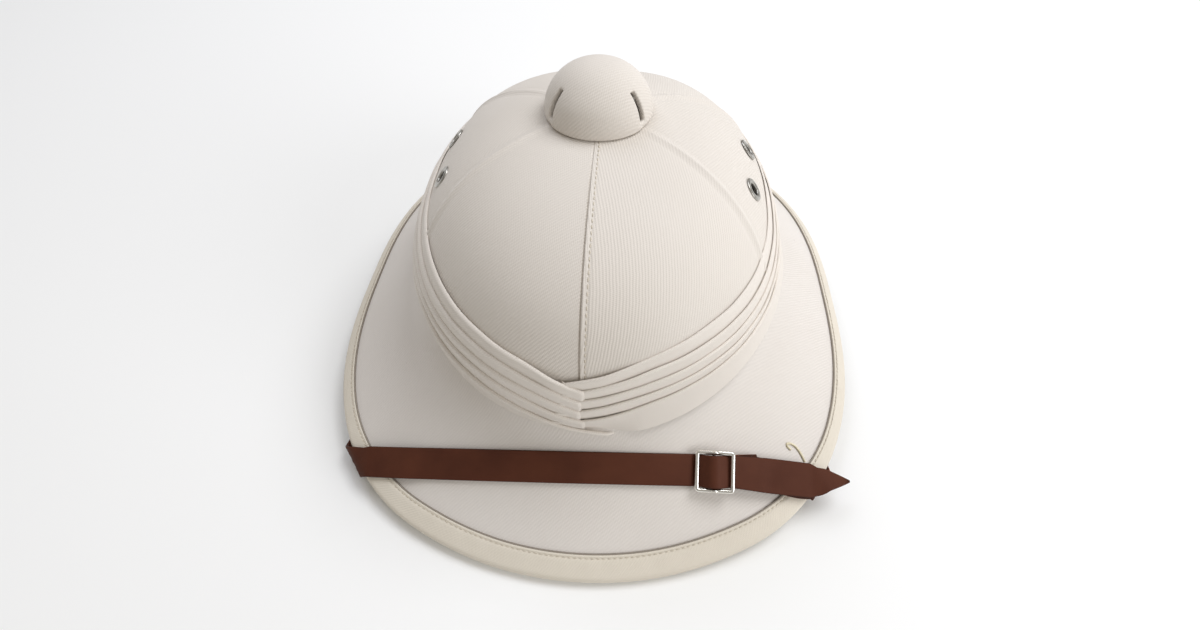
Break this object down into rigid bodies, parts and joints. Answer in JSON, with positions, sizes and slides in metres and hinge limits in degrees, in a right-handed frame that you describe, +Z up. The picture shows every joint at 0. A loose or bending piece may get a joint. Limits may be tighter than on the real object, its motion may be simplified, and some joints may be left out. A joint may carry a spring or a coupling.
{
  "type": "pith sun helmet",
  "caption": "Cloth-covered sun helmet with a domed crown, pleated band, vent button, flared brim with a bound edge, and a leather chin strap parked over the brim.",
  "frame": {"origin": "on the surface the hat rests on, under the middle of the brim's length and width", "axes": "+Z up, -Y toward the front of the hat, +X toward the right of the picture"},
  "size_m": [0.2802, 0.332, 0.1534],
  "materials": {
    "crown_cloth": "matte cream cotton twill over a stiff shell",
    "brim_cloth": "matte cream cotton twill over a stiff shell",
    "binding_cloth": "matte cotton edging with a stitched inner edge",
    "band_cloth": "matte cream cotton laid in soft folds",
    "button_cloth": "matte cream cotton twill over a stiff cap",
    "post_metal": "plain",
    "eyelet_metal": "dulled nickel plating",
    "strap_leather": "smooth dark brown leather with a slight sheen",
    "slide_metal": "bright nickel plating"
  },
  "bodies": {
    "root": {"crown": "crown_cloth", "brim": "brim_cloth", "brim_binding": "binding_cloth", "puggaree": "band_cloth", "vent_button": "button_cloth", "button_post": "post_metal", "eyelet_left_front": "eyelet_metal", "eyelet_left_back": "eyelet_metal", "eyelet_right_front": "eyelet_metal", "eyelet_right_back": "eyelet_metal", "chin_strap": "strap_leather", "slide_strap": "strap_leather", "strap_slide": "slide_metal", "strap_pin_left": "slide_metal", "strap_pin_right": "slide_metal"}
  },
  "joints": []
}
